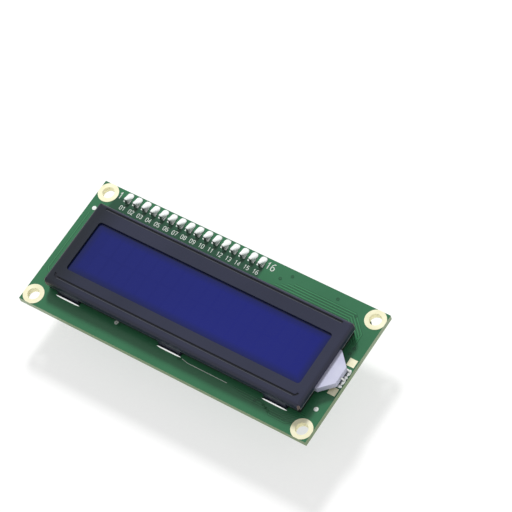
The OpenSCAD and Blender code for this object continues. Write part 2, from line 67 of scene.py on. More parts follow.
def new_finish(name):
    """An empty material with its shader, ready for a piece's own nodes."""
    finish = bpy.data.materials.new(name)
    finish.use_nodes = True
    tree = finish.node_tree
    return finish, tree, tree.nodes["Principled BSDF"]


def dress(finish, *names):
    """Puts a finish on carried-over solids."""
    for node in names:
        nodes[node].data.materials.clear()
        nodes[node].data.materials.append(finish)


def group_tree(name, inputs, outputs):
    """A shader node group with named sockets: (name, kind, default)."""
    tree = bpy.data.node_groups.new(name, "ShaderNodeTree")
    for label, kind, value in inputs:
        tree.interface.new_socket(label, in_out="INPUT",
                                  socket_type=kind).default_value = value
    for label, kind in outputs:
        tree.interface.new_socket(label, in_out="OUTPUT", socket_type=kind)
    return (tree, tree.nodes.new("NodeGroupInput"),
            tree.nodes.new("NodeGroupOutput"))


def place_group(tree, group, **values):
    """One use of a group in a material, with that material's own values."""
    node = tree.nodes.new("ShaderNodeGroup")
    node.node_tree = group
    for label, value in values.items():
        node.inputs[label.replace("_", " ")].default_value = value
    return node


def add_node(tree, kind, **values):
    """A shader node with some of its plain settings or inputs set."""
    node = tree.nodes.new(kind)
    for label, value in values.items():
        name = label.replace("_", " ")
        if name in node.inputs:
            node.inputs[name].default_value = value
        else:
            setattr(node, label, value)
    return node


def ramp(tree, source, low, high, to_low=0.0, to_high=1.0):
    """A value stretched from one range to another and clamped."""
    node = add_node(tree, "ShaderNodeMapRange", From_Min=low, From_Max=high,
                    To_Min=to_low, To_Max=to_high)
    tree.links.new(source, node.inputs["Value"])
    return node.outputs["Result"]


def mix_colour(tree, mask, under, over):
    """Colour 'over' laid on colour 'under' where the mask is 1."""
    node = add_node(tree, "ShaderNodeMix", data_type="RGBA")
    for socket, value in (("A", under), ("B", over)):
        if isinstance(value, tuple):
            node.inputs[socket].default_value = (*value, 1)
        else:
            tree.links.new(value, node.inputs[socket])
    tree.links.new(mask, node.inputs["Factor"])
    return node.outputs["Result"]


def make_grain():
    """Cloudy colour change, uneven gloss and a fine surface height."""
    tree, entry, out = group_tree("surface_grain", [
        ("Dark", "NodeSocketColor", (0, 0, 0, 1)),
        ("Light", "NodeSocketColor", (1, 1, 1, 1)),
        ("Cloud Scale", "NodeSocketFloat", 120.0),
        ("Grain Scale", "NodeSocketFloat", 2500.0),
        ("Rough Low", "NodeSocketFloat", 0.3),
        ("Rough High", "NodeSocketFloat", 0.5)], [
        ("Colour", "NodeSocketColor"), ("Roughness", "NodeSocketFloat"),
        ("Height", "NodeSocketFloat")])
    place = tree.nodes.new("ShaderNodeTexCoord")
    cloud = add_node(tree, "ShaderNodeTexNoise", Detail=5)
    grain = add_node(tree, "ShaderNodeTexNoise", Detail=3)
    link = tree.links.new
    link(place.outputs["Object"], cloud.inputs["Vector"])
    link(place.outputs["Object"], grain.inputs["Vector"])
    link(entry.outputs["Cloud Scale"], cloud.inputs["Scale"])
    link(entry.outputs["Grain Scale"], grain.inputs["Scale"])
    level = ramp(tree, cloud.outputs["Fac"], 0.3, 0.7)
    gloss = tree.nodes.new("ShaderNodeMapRange")
    link(grain.outputs["Fac"], gloss.inputs["Value"])
    link(entry.outputs["Rough Low"], gloss.inputs["To Min"])
    link(entry.outputs["Rough High"], gloss.inputs["To Max"])
    link(mix_colour(tree, level, entry.outputs["Dark"],
                    entry.outputs["Light"]), out.inputs["Colour"])
    link(gloss.outputs["Result"], out.inputs["Roughness"])
    link(grain.outputs["Fac"], out.inputs["Height"])
    return tree


grain_group = make_grain()


def grained_finish(name, dark, light, rough, bump=0.1, cloud=120, grain=2500,
                   metal=0.0, coat=0.0, shine=0.5, over=None):
    """A finish with cloudy colour, uneven gloss and a fine bump; 'over'
    may lay a second colour on it."""
    finish, tree, shader = new_finish(name)
    use = place_group(tree, grain_group, Dark=(*dark, 1), Light=(*light, 1),
                      Cloud_Scale=cloud, Grain_Scale=grain,
                      Rough_Low=rough[0], Rough_High=rough[1])
    relief = add_node(tree, "ShaderNodeBump", Strength=bump,
                      Distance=0.02 * MM)
    colour = use.outputs["Colour"]
    if over:
        colour = over(tree, colour)
    link = tree.links.new
    link(colour, shader.inputs["Base Color"])
    link(use.outputs["Roughness"], shader.inputs["Roughness"])
    link(use.outputs["Height"], relief.inputs["Height"])
    link(relief.outputs["Normal"], shader.inputs["Normal"])
    shader.inputs["Metallic"].default_value = metal
    shader.inputs["Coat Weight"].default_value = coat
    shader.inputs["Specular IOR Level"].default_value = shine
    return finish


def surface_part(tree, output, axis):
    """One axis of the surface's place in metres, or of its direction."""
    split = tree.nodes.new("ShaderNodeSeparateXYZ")
    tree.links.new(tree.nodes.new("ShaderNodeNewGeometry").outputs[output],
                   split.inputs[0])
    return split.outputs[axis]


def facing(tree, axis):
    """How much a face looks along one axis, from 0 to 1."""
    size = add_node(tree, "ShaderNodeMath", operation="ABSOLUTE")
    tree.links.new(surface_part(tree, "Normal", axis), size.inputs[0])
    return size.outputs[0]


def product(tree, *masks):
    """Masks multiplied together."""
    total = masks[0]
    for mask in masks[1:]:
        both = add_node(tree, "ShaderNodeMath", operation="MULTIPLY")
        tree.links.new(total, both.inputs[0])
        tree.links.new(mask, both.inputs[1])
        total = both.outputs[0]
    return total


def band(tree, value, low, high, blur):
    """1 between two heights given in millimetres, 0 outside them."""
    return product(tree,
                   ramp(tree, value, (low - blur) * MM, low * MM),
                   ramp(tree, value, high * MM, (high + blur) * MM, 1, 0))


def sawn_edges(edge):
    """Lays the bare laminate's colour on all faces that aren't flat."""
    def over(tree, colour):
        mask = ramp(tree, facing(tree, "Z"), 0.5, 0.6, 1, 0)
        return mix_colour(tree, mask, colour, edge)
    return over


def board_tones(tree, colour):
    """Painted shade: the mask is darker in a band beside the pin row. The bare laminate's
    colour goes on the sawn edges.
    """
    # Painted shade: a darker band on the mask beside the pin row.
    painted_row_shade = product(tree, *(
        band(tree, surface_part(tree, "Position", axis), low, high, 0.7)
        for axis, low, high in (("X", -35, 7), ("Y", 10, 15.6),
                                ("Z", -0.1, 1))))
    colour = mix_colour(tree, painted_row_shade, colour, (0.014, 0.070, 0.036))
    return sawn_edges((0.27, 0.36, 0.20))(tree, colour)


board_green = grained_finish(
    "green_mask", (0.028, 0.142, 0.064), (0.036, 0.172, 0.080), (0.25, 0.4),
    cloud=60, shine=0.35, over=board_tones)
dress(board_green, "main_board")
board_back = mm_box("main_board")[0].z
row_low, row_high = mm_box("row_pins")
pin_side = 0.64
row_y = (row_low.y + row_high.y) / 2
row_start = row_low.x + pin_side / 2
row_pitch = 2.54
row_xs = [row_start + k * row_pitch for k in range(16)]


# ---------------------------------------------------------------- copper
# Etched copper tracks and a few plated holes. They lie under the solder
# mask, which follows them as low ridges of a lighter green. Along both
# sides of each track runs a band of painted shade in a darker green.
def lay_line(shape, path, width, low, high):
    """A low ribbon with mitred corners along a path, in millimetres."""
    points = [Vector(p) for p in path]
    closed = (points[0] - points[-1]).length < 1e-6
    if closed:
        points.pop()
    count = len(points)
    rails = []
    for k, point in enumerate(points):
        ahead = behind = None
        if closed or k < count - 1:
            ahead = (points[(k + 1) % count] - point).normalized()
        if closed or k > 0:
            behind = (point - points[k - 1]).normalized()
        ahead = behind if ahead is None else ahead
        behind = ahead if behind is None else behind
        way = (ahead + behind).normalized()
        side = Vector((-way.y, way.x)) * width / 2 / max(0.4, way.dot(ahead))
        rails.append([shape.verts.new((*(point + s * side), z))
                      for s, z in ((1, low), (1, high), (-1, high),
                                   (-1, low))])
    for a, b in zip(rails, rails[1:] + (rails[:1] if closed else [])):
        for i in range(4):
            j = (i + 1) % 4
            shape.faces.new((a[i], a[j], b[j], b[i]))
    if not closed:
        shape.faces.new(rails[0])
        shape.faces.new(rails[-1])


def lay_track(shades_and_vias, tracks, path, width, level, side=1):
    """A copper track, with a band of painted shade in a darker green along each of its two
    sides.
    """
    lay_line(shades_and_vias, path, width + 0.3,
             *sorted((level, level + side * copper_rise / 2)))
    lay_line(tracks, path, width,
             *sorted((level, level + side * copper_rise)))


def lay_patch(shape, outline, low, high):
    """A flat plate of any outline."""
    rings = [[shape.verts.new((x, y, z)) for x, y in outline]
             for z in (low, high)]
    for ring in rings:
        shape.faces.new(ring)
    for k in range(len(outline)):
        j = (k + 1) % len(outline)
        shape.faces.new((rings[0][k], rings[0][j], rings[1][j], rings[1][k]))


def round_path(x, y, radius, count=40):
    """A closed circle."""
    path = [(x + radius * math.cos(2 * math.pi * k / count),
             y + radius * math.sin(2 * math.pi * k / count))
            for k in range(count)]
    return path + path[:1]


def box_path(x0, x1, y0, y1):
    """A closed rectangle."""
    return [(x0, y0), (x1, y0), (x1, y1), (x0, y1), (x0, y0)]


def as_piece(name, shape, finish, smooth=False):
    """Makes a drawn shape, in millimetres, a piece of the module."""
    bmesh.ops.recalc_face_normals(shape, faces=shape.faces)
    shape.transform(Matrix.Scale(MM, 4))
    mesh = bpy.data.meshes.new(name)
    shape.to_mesh(mesh)
    shape.free()
    mesh.materials.append(finish)
    for face in mesh.polygons:
        face.use_smooth = smooth
    piece = bpy.data.objects.new(name, mesh)
    bpy.context.scene.collection.objects.link(piece)
    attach(piece, "module")
    return piece


copper_green = grained_finish(
    "masked_copper", (0.040, 0.200, 0.085), (0.052, 0.240, 0.105),
    (0.25, 0.4), cloud=60, shine=0.35)
copper_rise = 0.025
# A darker green for the painted shade beside the tracks; the vias' rings use it too.
shade_and_via_green = grained_finish(
    "track_shade_and_vias", (0.018, 0.090, 0.042), (0.022, 0.110, 0.052),
    (0.25, 0.4), cloud=60, shine=0.35)


def lay_vias(shape, spots, level, side=1):
    """Small plated holes filled by the mask."""
    for x, y in spots:
        lay_line(shape, round_path(x, y, 0.28, 16), 0.28,
                 *sorted((level, level + side * 2 * copper_rise)))


shades_and_vias, tracks = bmesh.new(), bmesh.new()
for k in range(5):
    y = 12.1 + 0.66 * k
    turn_x = 31.7 + 0.25 * k
    drop = 4.1 - 0.03 * k
    lay_track(shades_and_vias, tracks, [
        (10.5 + 1.4 * k, y), (turn_x, y), (turn_x + drop, y - drop),
        (turn_x + drop, 6.3 + 0.2 * k)], 0.28, 0)
for k in range(3):
    lay_track(shades_and_vias, tracks, [
        (18 + 1.5 * k, -13.9 - 0.55 * k), (26 + k, -13.9 - 0.55 * k),
        (27 + k, -14.9 - 0.55 * k), (31.5 + k, -14.9 - 0.55 * k),
        (34.2 + k, -12.2 - 0.55 * k), (36.4, -12.2 - 0.55 * k)],
        0.16, 0)
lay_track(shades_and_vias, tracks, [(-38.6, 9), (-38.6, -8), (-37.4, -9.2),
                          (-37.4, -11.6)], 0.26, 0)
lay_vias(shades_and_vias, [(2.9, -13.7), (-14.6, -13), (24.3, -14.6), (33, 14.2),
                 (27, 16.1), (14.5, 16.3), (12.2, 14.6), (36.9, 5.4),
                 (25, -13.9), (37.2, 7)], 0)
as_piece("front_track_shade_and_vias", shades_and_vias, shade_and_via_green)
as_piece("front_copper", tracks, copper_green)

shades_and_vias, tracks = bmesh.new(), bmesh.new()
back_level = board_back
for k in range(7):
    y = -14.4 - 0.5 * k
    x = -31.9 - 0.42 * k
    rise = 2.3
    lay_track(shades_and_vias, tracks, [
        (24 + 1.2 * k, y), (x, y), (x - rise, y + rise),
        (x - rise, 5.5 + 0.8 * k)], 0.2, back_level, -1)
for k in range(14):
    x = -20.5 + 1.1 * k
    lay_track(shades_and_vias, tracks, [
        (x, -6.4 - abs(k - 6.5) * 0.05), (x, -9.6), (x + 1.5, -11.1),
        (x + 1.5, -13.9)], 0.2, back_level, -1)
for k in range(12):
    x = 8.2 + 0.9 * k
    lay_track(shades_and_vias, tracks, [
        (x, 6.9), (x, 8.2 + 0.12 * k), (x - 1.2, 9.4 + 0.12 * k),
        (x - 1.2, 11)], 0.2, back_level, -1)
    lay_track(shades_and_vias, tracks, [(x, -5.2), (x, -7.2), (x - 1.6, -8.8),
                              (x - 1.6, -9.6)], 0.2, back_level, -1)
for k in range(4):
    lay_track(shades_and_vias, tracks, [
        (20.5, 16.9 - 0.6 * k), (34.2 - 0.5 * k, 16.9 - 0.6 * k),
        (37.9 - 0.5 * k, 13.2 - 0.6 * k), (37.9 - 0.5 * k, 6.2)],
        0.24, back_level, -1)
lay_patch(tracks, [(12.4, -9.6), (20.6, -9.6), (22.4, -11.4),
                   (22.4, -13.4), (10.6, -13.4), (10.6, -11.4)],
          back_level - copper_rise, back_level)
lay_vias(shades_and_vias, [(-5, -10.8), (-2, -12.1), (6.5, -3), (5.2, 8.8),
                 (24.2, -8), (35.6, -2.2), (22.6, 4.4), (-24.5, -9.5),
                 (-34.8, 9)], back_level, -1)
as_piece("back_track_shade_and_vias", shades_and_vias, shade_and_via_green)
as_piece("back_copper", tracks, copper_green)

# ---------------------------------------------------------------- printing
# White ink on both boards: plain numbers along the pin row, and outlines
# round the places of the parts.
DIGITS = {
    "0": [[(0, .3), (0, 1.7), (.3, 2), (.7, 2), (1, 1.7), (1, .3), (.7, 0),
           (.3, 0), (0, .3)]],
    "1": [[(.15, 1.6), (.55, 2), (.55, 0)]],
    "2": [[(0, 1.7), (.3, 2), (.7, 2), (1, 1.7), (1, 1.3), (0, 0), (1, 0)]],
    "3": [[(0, 1.8), (.3, 2), (.7, 2), (1, 1.7), (1, 1.3), (.7, 1),
           (.35, 1)], [(.7, 1), (1, .7), (1, .3), (.7, 0), (.3, 0),
                       (0, .25)]],
    "4": [[(.75, 0), (.75, 2), (0, .6), (1, .6)]],
    "5": [[(.95, 2), (.05, 2), (0, 1.1), (.7, 1.15), (1, .85), (1, .3),
           (.7, 0), (.3, 0), (0, .25)]],
    "6": [[(.9, 2), (.45, 2), (0, 1.4), (0, .3), (.3, 0), (.7, 0), (1, .3),
           (1, .8), (.7, 1.1), (0, 1.1)]],
    "7": [[(0, 2), (1, 2), (.35, 0)]],
    "8": [[(.3, 1.05), (0, 1.35), (0, 1.7), (.3, 2), (.7, 2), (1, 1.7),
           (1, 1.35), (.7, 1.05), (1, .75), (1, .3), (.7, 0), (.3, 0),
           (0, .3), (0, .75), (.3, 1.05), (.7, 1.05)]],
    "9": [[(.1, 0), (.55, 0), (1, .6), (1, 1.7), (.7, 2), (.3, 2), (0, 1.7),
           (0, 1.2), (.3, .9), (1, .9)]]}


def print_number(shape, text, x, y, tall, level, ink=0.16, side=1, turn=0):
    """Writes a number in thin strokes, seen from above (side 1) or from
    below (side -1), centred on a point and turned by an angle."""
    wide = 0.5 * tall
    gap = 0.26 * tall
    start = -(len(text) * wide + (len(text) - 1) * gap) / 2
    turned = Matrix.Rotation(turn, 2)
    for k, digit in enumerate(text):
        for stroke in DIGITS[digit]:
            path = []
            for u, v in stroke:
                spot = turned @ Vector((start + k * (wide + gap) + u * wide,
                                        (v / 2 - 0.5) * tall))
                path.append((x + side * spot.x, y + spot.y))
            lay_line(shape, path, ink, *sorted((level, level + side * 0.03)))


white_ink = grained_finish("white_ink", (0.60, 0.66, 0.60),
                           (0.78, 0.82, 0.78), (0.45, 0.6), cloud=800,
                           shine=0.3)
ink_level = 0.012
shape = bmesh.new()
print_number(shape, "1", -34.3, 16.2, 1.7, ink_level, 0.2)
print_number(shape, "16", 8.6, 16.2, 1.7, ink_level, 0.2)
for k, x in enumerate(row_xs):
    print_number(shape, "%02d" % (k + 1), x, 13.45, 1.05, ink_level, 0.15)
lay_line(shape, round_path(-15.4, -12.7, 0.32, 16), 0.42, 0, 0.05)
# Painted highlight: a thin white line along the edge of a track.
lay_line(shape, [(3.6, -13.45), (5.5, -13.8), (16.2, -13.8)], 0.14,
         0.012, 0.042)
as_piece("front_printing_and_highlight", shape, white_ink)

shape = bmesh.new()
back_ink = board_back - ink_level
ink_span = (back_ink - 0.03, back_ink)
dome_1_low, dome_1_high = mm_box("driver_blob_1")
dome_2_low, dome_2_high = mm_box("driver_blob_2")
dome_1 = (dome_1_low + dome_1_high) / 2
dome_2 = (dome_2_low + dome_2_high) / 2
dome_1_r = (dome_1_high.x - dome_1_low.x) / 2
dome_2_r = (dome_2_high.x - dome_2_low.x) / 2
lay_line(shape, round_path(dome_1.x, dome_1.y, dome_1_r + 0.45, 72), 0.22,
         *ink_span)
lay_line(shape, round_path(dome_2.x, dome_2.y, dome_2_r + 0.45, 72), 0.22,
         *ink_span)
mid_y = -0.6
for path in (box_path(-33.5, -28.5, mid_y - 6.8, mid_y + 6.8),
             box_path(-25.4, -19.3, mid_y - 5.2, mid_y - 0.3),
             box_path(16.4, 23, 11.8, 14.4),
             box_path(26.4, 32.8, mid_y - 3, mid_y - 0.5),
             box_path(26.4, 32.8, mid_y - 6.5, mid_y - 4),
             box_path(27.8, 30.8, mid_y + 0.2, mid_y + 5.4),
             round_path(27.2, 6, 1.15, 24), round_path(29.3, 6, 1.15, 24),
             round_path(32, 6, 1.15, 24)):
    lay_line(shape, path, 0.2, *ink_span)
for i in range(1, 6):
    y = mid_y + (i - 3) * 2.2
    lay_line(shape, [(-33.5, y), (-28.5, y)], 0.16, *ink_span)
for text, x, y, tall in (("2", 21.6, -3.6, 1.7), ("1", -4.2, -4.6, 1.7),
                         ("0417", 3.2, -7.6, 2.3), ("8", 24.8, 13.2, 1.5),
                         ("11", 38.3, 6.2, 1.3), ("12", 38.3, -7.8, 1.3),
                         ("5", -17.7, mid_y - 1.6, 1.4),
                         ("6", -17.7, mid_y - 4, 1.4),
                         ("21", 34.8, mid_y - 1.8, 1.3),
                         ("22", 34.8, mid_y - 5.3, 1.3)):
    print_number(shape, text, x, y, tall, back_ink, 0.2, -1)
for i in range(6):
    print_number(shape, str(i + 1), -27.1, mid_y + (i - 2.5) * 2.2, 1.3,
                 back_ink, 0.18, -1)
as_piece("back_printing", shape, white_ink)

# ---------------------------------------------------------------- lands
# Tinned copper left bare by the mask: the rings of the corner holes, the
# pads of parts and the lands along the bezel's slots.
tin_finish = grained_finish("tinned_copper", (0.90, 0.86, 0.58),
                            (1.0, 0.97, 0.72), (0.35, 0.6), metal=0.0,
                            cloud=420, bump=0.3, grain=1500, shine=0.6)
dress(tin_finish, "corner_lands", "backlight_lands", "back_tab_lands")
pale_tin = grained_finish("fresh_tin", (0.80, 0.84, 0.80),
                          (0.94, 0.97, 0.94), (0.3, 0.5), cloud=700)
dress(pale_tin, "front_tab_lands", "bare_lands", "address_lands")


def coated_ends(tree, colour):
    """The coating runs over the ends of the row's pads, in the darker green of the painted
    shade beside the row.
    """
    end = ramp(tree, surface_part(tree, "Position", "Y"),
               (row_y - 0.45) * MM, (row_y - 0.35) * MM, 1, 0)
    return mix_colour(tree, end, colour, (0.016, 0.080, 0.042))


dress(grained_finish("row_pads", (0.80, 0.84, 0.80), (0.94, 0.97, 0.94),
                     (0.3, 0.5), cloud=700, over=coated_ends), "pin_lands")
shape = bmesh.new()
for x, y in ((37.7, -9.9), (-38.1, 10.4)):
    lay_line(shape, round_path(x, y, 0.3, 24), 0.52, 0, 0.05)
as_piece("test_pads", shape, pale_tin)

# ---------------------------------------------------------------- solder
# A bright fillet climbs from each long pad of the row to its pin's tip.
# It is widest on the side toward the board's edge, and no two are alike.
solder_finish = grained_finish("solder", (0.78, 0.80, 0.80),
                               (0.97, 0.98, 0.98), (0.18, 0.35), metal=0.45,
                               cloud=900, bump=0.3, grain=900, shine=0.7)
dress(solder_finish, "lead_solder", "adapter_solder", "bent_pin_solder",
      "board_resistor_ends", "adapter_resistor_ends",
      "adapter_capacitor_ends", "power_led_ends")


def loft(shape, rings):
    """Joins rings of points, given from the foot up, into one skin."""
    loops = [[shape.verts.new(p) for p in ring] for ring in rings]
    count = len(loops[0])
    for a, b in zip(loops, loops[1:]):
        for k in range(count):
            j = (k + 1) % count
            shape.faces.new((a[k], a[j], b[j], b[k]))
    shape.faces.new(loops[0])
    shape.faces.new(loops[-1])


def solder_tooth(shape, x, y):
    """One fillet: a foot that widens toward the board's edge, drawn up
    round the pin."""
    neck, far_w, near_w, foot_l, pad_shift = 0.46, 1.24, 0.45, 1.5, 0.85
    rise = random.uniform(1.1, 1.28)
    lean = random.uniform(-0.05, 0.05)
    bulge = random.uniform(0.9, 1.3)
    around = 24
    rings = []
    for k in range(9):
        t = k / 8
        spread = (1 - t) ** bulge
        ring = []
        for i in range(around):
            turn = 2 * math.pi * i / around
            c, s = math.cos(turn), math.sin(turn)
            c = math.copysign(abs(c) ** 0.75, c)
            foot_w = near_w + (far_w - near_w) * (1 + s) / 2
            ring.append((
                x + lean * t + (neck + (foot_w - neck) * spread) * c,
                y + pad_shift * spread + (neck + (foot_l - neck)
                                          * spread) * s,
                0.05 + rise * t))
        rings.append(ring)
    for inset, up in ((0.8, 0.1), (0.4, 0.17)):
        rings.append([(x + lean + (px - x - lean) * inset,
                       y + (py - y) * inset, 0.05 + rise + up)
                      for px, py, _ in rings[8]])
    loft(shape, rings)


shape = bmesh.new()
for x in row_xs:
    solder_tooth(shape, x, row_y)


def near_shade(tree, colour):
    """The side toward the bezel mirrors the dark board before it."""
    shade = ramp(tree, surface_part(tree, "Normal", "Y"),
                 -0.75, -0.3, 0.9, 0)
    return mix_colour(tree, shade, colour, (0.03, 0.09, 0.06))


teeth = as_piece("row_solder", shape, grained_finish(
    "row_solder", (0.82, 0.86, 0.84), (0.97, 0.98, 0.98), (0.18, 0.35),
    metal=0.3, cloud=900, bump=0.3, grain=900, shine=0.7, over=near_shade),
    smooth=True)
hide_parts("pin_solder")

slot_low, slot_high = mm_box("front_tab_lands")
land_wide = 0.45
shape = bmesh.new()
for middle in (-29.15, -0.25, 28.65):
    for y in (slot_low.y + land_wide / 2, slot_high.y - land_wide / 2):
        rings = []
        for k in range(13):
            t = 2 * k / 12 - 1
            plump = max(0.08, (1 - abs(t) ** 3)) ** 0.5
            rings.append([(middle + t * 3.4,
                           y + math.copysign(0.07, y)
                           + plump * 0.32 * math.cos(a),
                           0.01 + plump * 0.36 * max(0, math.sin(a)))
                          for a in (math.pi * i / 8 for i in range(9))])
        loft(shape, rings)
beads = as_piece("slot_fillets", shape, grained_finish(
    "slot_solder", (0.90, 0.92, 0.91), (1.0, 1.0, 1.0), (0.15, 0.3),
    metal=0.95, cloud=900, bump=0.2, grain=900), smooth=True)
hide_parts("front_tab_lands")

# ---------------------------------------------------------------- bezel
# Steel sheet, blanked, ribbed and folded into a shallow pan, with a dark
# blue-grey coating. Its cut lower edge and corners show brighter metal,
# the lower edge brighter still on the end walls as a painted highlight.
# Painted shade darkens its left end and its grooves, and a painted
# highlight runs beside each groove.
walls = [v.co / MM for v in nodes["bezel"].data.vertices if v.co.z > 0]
bezel_low, bezel_high = (
    Vector((edge(v.x for v in walls), edge(v.y for v in walls),
            edge(v.z for v in walls))) for edge in (min, max))
rim_z = 2.0
face_z = bezel_high.z


def axis_place(tree, axis):
    """Position along one axis of the part's frame, in metres."""
    place = tree.nodes.new("ShaderNodeTexCoord")
    split = tree.nodes.new("ShaderNodeSeparateXYZ")
    tree.links.new(place.outputs["Object"], split.inputs[0])
    return split.outputs[axis]


def off_middle(tree, axis, middle):
    """Distance from a plane across one axis, in metres."""
    off = add_node(tree, "ShaderNodeMath", operation="SUBTRACT")
    off.inputs[1].default_value = middle * MM
    tree.links.new(axis_place(tree, axis), off.inputs[0])
    size = add_node(tree, "ShaderNodeMath", operation="ABSOLUTE")
    tree.links.new(off.outputs[0], size.inputs[0])
    return off.outputs[0], size.outputs[0]


groove_span = bezel_high.x - 2.8
groove_ys = (bezel_high.y - 1.05, bezel_low.y + 2.05)


def bezel_wear(tree, colour):
    """Bright bare metal at the cut edge and corners, brighter on the end walls as a
    painted highlight; painted shade at the left end and along the grooves; darker floors
    in the grooves.
    """
    height = axis_place(tree, "Z")
    # Painted shade: the bezel grows darker toward its left end.
    end = ramp(tree, axis_place(tree, "X"), -33.5 * MM, -28 * MM, 0.8, 0)
    colour = mix_colour(tree, end, colour, (0.003, 0.006, 0.010))
    # Painted shade: dark bands along the two grooves.
    along = ramp(tree, off_middle(tree, "X", 0)[1], groove_span * MM,
                 (groove_span + 0.3) * MM, 1, 0)
    across = axis_place(tree, "Y")
    for y in groove_ys:
        groove_shade = product(tree, along, band(tree, across, y - 0.26, y + 0.26,
                                          0.12))
        colour = mix_colour(tree, groove_shade, colour, (0.002, 0.003, 0.008))
    # Bare metal at the cut lower edge, made brighter on the end walls than on the long
    # walls as a painted highlight.
    rim = band(tree, height, rim_z, rim_z + 0.12, 0.05)
    side = product(tree, rim, ramp(tree, facing(tree, "X"), 0.4, 0.6,
                                   0.35, 1))
    colour = mix_colour(tree, side, colour, (0.40, 0.47, 0.45))
    middle_y = (bezel_low.y + bezel_high.y) / 2
    corner = product(
        tree, band(tree, height, rim_z, face_z - 0.5, 0.1),
        ramp(tree, off_middle(tree, "X", 0)[1], (bezel_high.x - 0.55) * MM,
             (bezel_high.x - 0.45) * MM),
        ramp(tree, off_middle(tree, "Y", middle_y)[1],
             (bezel_high.y - middle_y - 0.55) * MM,
             (bezel_high.y - middle_y - 0.45) * MM))
    colour = mix_colour(tree, corner, colour, (0.34, 0.26, 0.25))
    groove = product(tree, band(tree, height, face_z - 0.22,
                                face_z - 0.1, 0.03),
                     ramp(tree, facing(tree, "Z"), 0.9, 0.95))
    return mix_colour(tree, groove, colour, (0.003, 0.004, 0.010))


bezel_finish = grained_finish(
    "bezel_coating", (0.013, 0.016, 0.036), (0.021, 0.024, 0.050),
    (0.32, 0.5), bump=0.15, cloud=45, grain=3500, shine=0.36,
    over=bezel_wear)
tab_root = board_back - 0.08


def twisted_tab(shape, x, y, reach, turn):
    """A tab bent round its own upright line once it is past the board."""
    wide, thick, steps = 6.2, 0.5, 14
    rings = []
    for k in range(steps + 1):
        t = k / steps
        angle = math.radians(turn) * t
        half = wide / 2 - (0.25 if k == steps else 0)
        ring = []
        for u, v in [(-1, -1)] + [(i / 6 - 1, -1) for i in range(1, 12)] + [
                (1, -1), (1, 1)] + [(1 - i / 6, 1) for i in range(1, 12)
                                    ] + [(-1, 1)]:
            spot = Matrix.Rotation(angle, 2) @ Vector((u * half,
                                                       v * thick / 2))
            ring.append((x + spot.x, y + spot.y,
                         tab_root - t * (reach - 0.08)))
        rings.append(ring)
    loft(shape, rings)


shape = bmesh.new()
shape.from_mesh(nodes["bezel"].data)
shape.transform(Matrix.Scale(1 / MM, 4))
bmesh.ops.remove_doubles(shape, verts=shape.verts, dist=0.001)
bmesh.ops.delete(shape, geom=[v for v in shape.verts
                              if v.co.z < tab_root - 0.004],
                 context="VERTS")
bmesh.ops.holes_fill(shape, edges=[e for e in shape.edges
                                   if e.is_boundary], sides=0)
tab_spread, half_sheet, tab_turn = 28.9, 0.25, 35
tab_long, tab_covered = 3, 1.5
for x, reach in ((-tab_spread, tab_covered), (0, tab_covered),
                 (tab_spread, tab_long)):
    twisted_tab(shape, x - half_sheet, bezel_high.y - half_sheet, reach,
                tab_turn)
    twisted_tab(shape, x - half_sheet, bezel_low.y + half_sheet, tab_long,
                tab_turn)
sheet = as_piece("bezel_sheet", shape, bezel_finish)
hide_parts("bezel")
# Painted shade: the inner frame is coloured near-black, standing for the shade in the gap
# under the bezel's rim.
frame_shade_finish = grained_finish("black_frame_shade", (0.008, 0.010, 0.010),
                              (0.014, 0.016, 0.016), (0.5, 0.7), shine=0.2)
dress(frame_shade_finish, "inner_frame")

# Painted highlight: a thin light line along each groove.
shape = bmesh.new()
for y in groove_ys:
    y -= 0.27
    lay_line(shape, [(-groove_span, y), (groove_span, y)], 0.09,
             face_z - 0.01, face_z + 0.015)
as_piece("groove_highlight_lines", shape, grained_finish(
    "painted_lip_highlight", (0.060, 0.066, 0.085), (0.085, 0.092, 0.115),
    (0.25, 0.4), cloud=200))

# ---------------------------------------------------------------- screen
# Two sheets of glass with a deep blue polarising film on each. The cells
# of the two lines of characters show faintly in the upper film.


def cell_marks(tree, colour):
    """Faint rectangles, sixteen by two, and painted shade toward the window's edges."""
    masks = []
    window_shade = None
    for axis, pitch, half, fill, mid, reach in (
            ("X", 3.55, 28.1, 0.83, 0.2, 32.5),
            ("Y", 5.95, 5.75, 0.93, -0.8, 7.1)):
        off, size = off_middle(tree, axis, mid)
        masks.append(ramp(tree, size, half * MM, (half + 0.1) * MM, 1, 0))
        step = add_node(tree, "ShaderNodeMath", operation="PINGPONG")
        step.inputs[1].default_value = pitch / 2 * MM
        tree.links.new(off, step.inputs[0])
        edge = pitch / 2 * (1 - fill) * MM
        masks.append(ramp(tree, step.outputs[0], edge, edge + 0.05 * MM))
        # Painted shade, deepening toward the window's edges.
        near = ramp(tree, size, (reach - 2.2) * MM, reach * MM)
        if window_shade is None:
            window_shade = near
        else:
            most = add_node(tree, "ShaderNodeMath", operation="MAXIMUM")
            tree.links.new(window_shade, most.inputs[0])
            tree.links.new(near, most.inputs[1])
            window_shade = most.outputs[0]
    faint = ramp(tree, product(tree, *masks), 0, 1, 0, 0.2)
    colour = mix_colour(tree, faint, colour, (0.009, 0.015, 0.175))
    return mix_colour(tree, ramp(tree, window_shade, 0, 1, 0, 0.7), colour,
                      (0.006, 0.011, 0.045))


def film_tones(tree, colour):
    """Painted shade: the film is darker toward the end away from the tongue."""
    left_film_shade = ramp(tree, axis_place(tree, "X"), -32 * MM, 12 * MM, 0.6, 0)
    colour = mix_colour(tree, left_film_shade, colour, (0.004, 0.009, 0.105))
    return cell_marks(tree, colour)


